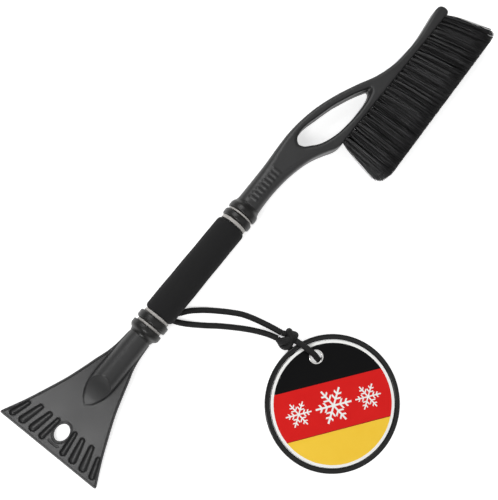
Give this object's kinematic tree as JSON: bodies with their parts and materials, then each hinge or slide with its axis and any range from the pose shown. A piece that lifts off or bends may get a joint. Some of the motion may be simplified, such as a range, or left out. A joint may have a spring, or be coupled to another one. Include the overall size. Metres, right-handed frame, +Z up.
{
  "type": "windshield ice scraper",
  "caption": "Windshield ice scraper with a fan-shaped blade, foam grip, snow brush with an open finger loop, wrist cord and round hang tag.",
  "frame": {"origin": "under the middle of the scraper, on the surface that it lies on", "axes": "+Y along the tube from the scraping edge to the brush, +Z up from the surface, +X to the side that the bristles point to"},
  "size_m": [0.2973, 0.57, 0.034],
  "materials": {
    "blade_and_frame_plastic": "satin moulded charcoal plastic, fine grain",
    "trim_plastic": "semi-gloss black plastic",
    "spacer_plastic": "satin light gray plastic",
    "grip_foam": "matte black foam with a fine open-cell surface",
    "tube_aluminium": "drawn tube",
    "pin_steel": "plain spring pin",
    "bristles": "black nylon filament",
    "cord_braid": "black braided elastic",
    "tag_print": "printed face in black, red, yellow and white",
    "tag_board": "black moulded edge and board",
    "eyelet_metal": "pressed metal eyelet"
  },
  "bodies": {
    "scraper": {"blade_lock_pin": "pin_steel", "bristle_tuft_bottom_01": "bristles", "bristle_tuft_bottom_02": "bristles", "bristle_tuft_bottom_03": "bristles", "bristle_tuft_bottom_04": "bristles", "bristle_tuft_bottom_05": "bristles", "bristle_tuft_bottom_06": "bristles", "bristle_tuft_bottom_07": "bristles", "bristle_tuft_bottom_08": "bristles", "bristle_tuft_bottom_09": "bristles", "bristle_tuft_bottom_10": "bristles", "bristle_tuft_bottom_11": "bristles", "bristle_tuft_bottom_12": "bristles", "bristle_tuft_bottom_13": "bristles", "bristle_tuft_bottom_14": "bristles", "bristle_tuft_bottom_15": "bristles", "bristle_tuft_bottom_16": "bristles", "bristle_tuft_bottom_17": "bristles", "bristle_tuft_top_01": "bristles", "bristle_tuft_top_02": "bristles", "bristle_tuft_top_03": "bristles", "bristle_tuft_top_04": "bristles", "bristle_tuft_top_05": "bristles", "bristle_tuft_top_06": "bristles", "bristle_tuft_top_07": "bristles", "bristle_tuft_top_08": "bristles", "bristle_tuft_top_09": "bristles", "bristle_tuft_top_10": "bristles", "bristle_tuft_top_11": "bristles", "bristle_tuft_top_12": "bristles", "bristle_tuft_top_13": "bristles", "bristle_tuft_top_14": "bristles", "bristle_tuft_top_15": "bristles", "bristle_tuft_top_16": "bristles", "bristle_tuft_top_17": "bristles", "bristle_tuft_top_18": "bristles", "brush_frame": "blade_and_frame_plastic", "brush_lock_pin": "pin_steel", "cord_grommet": "trim_plastic", "cord_knot": "cord_braid", "cord_stopper": "cord_braid", "cord_strand_lower": "cord_braid", "cord_strand_upper": "cord_braid", "cord_tag_loop": "cord_braid", "grip_sleeve": "grip_foam", "lower_collar": "trim_plastic", "lower_ring": "trim_plastic", "lower_washer_inner": "spacer_plastic", "lower_washer_outer": "spacer_plastic", "scraper_blade": "blade_and_frame_plastic", "shaft_tube": "tube_aluminium", "upper_collar": "trim_plastic", "upper_ring": "trim_plastic", "upper_washer_inner": "spacer_plastic", "upper_washer_outer": "spacer_plastic"},
    "tag": {"tag_disc": "tag_board", "tag_rim": "tag_board", "tag_print": "tag_print", "tag_eyelet": "eyelet_metal"}
  },
  "joints": [
    {"name": "tag_swing", "type": "hinge", "parent": "scraper", "child": "tag", "pos_m": [0.12255, -0.0654, 0.00987], "axis": [0.0785, 0, 0.9969], "range_deg": [0, 60]}
  ]
}
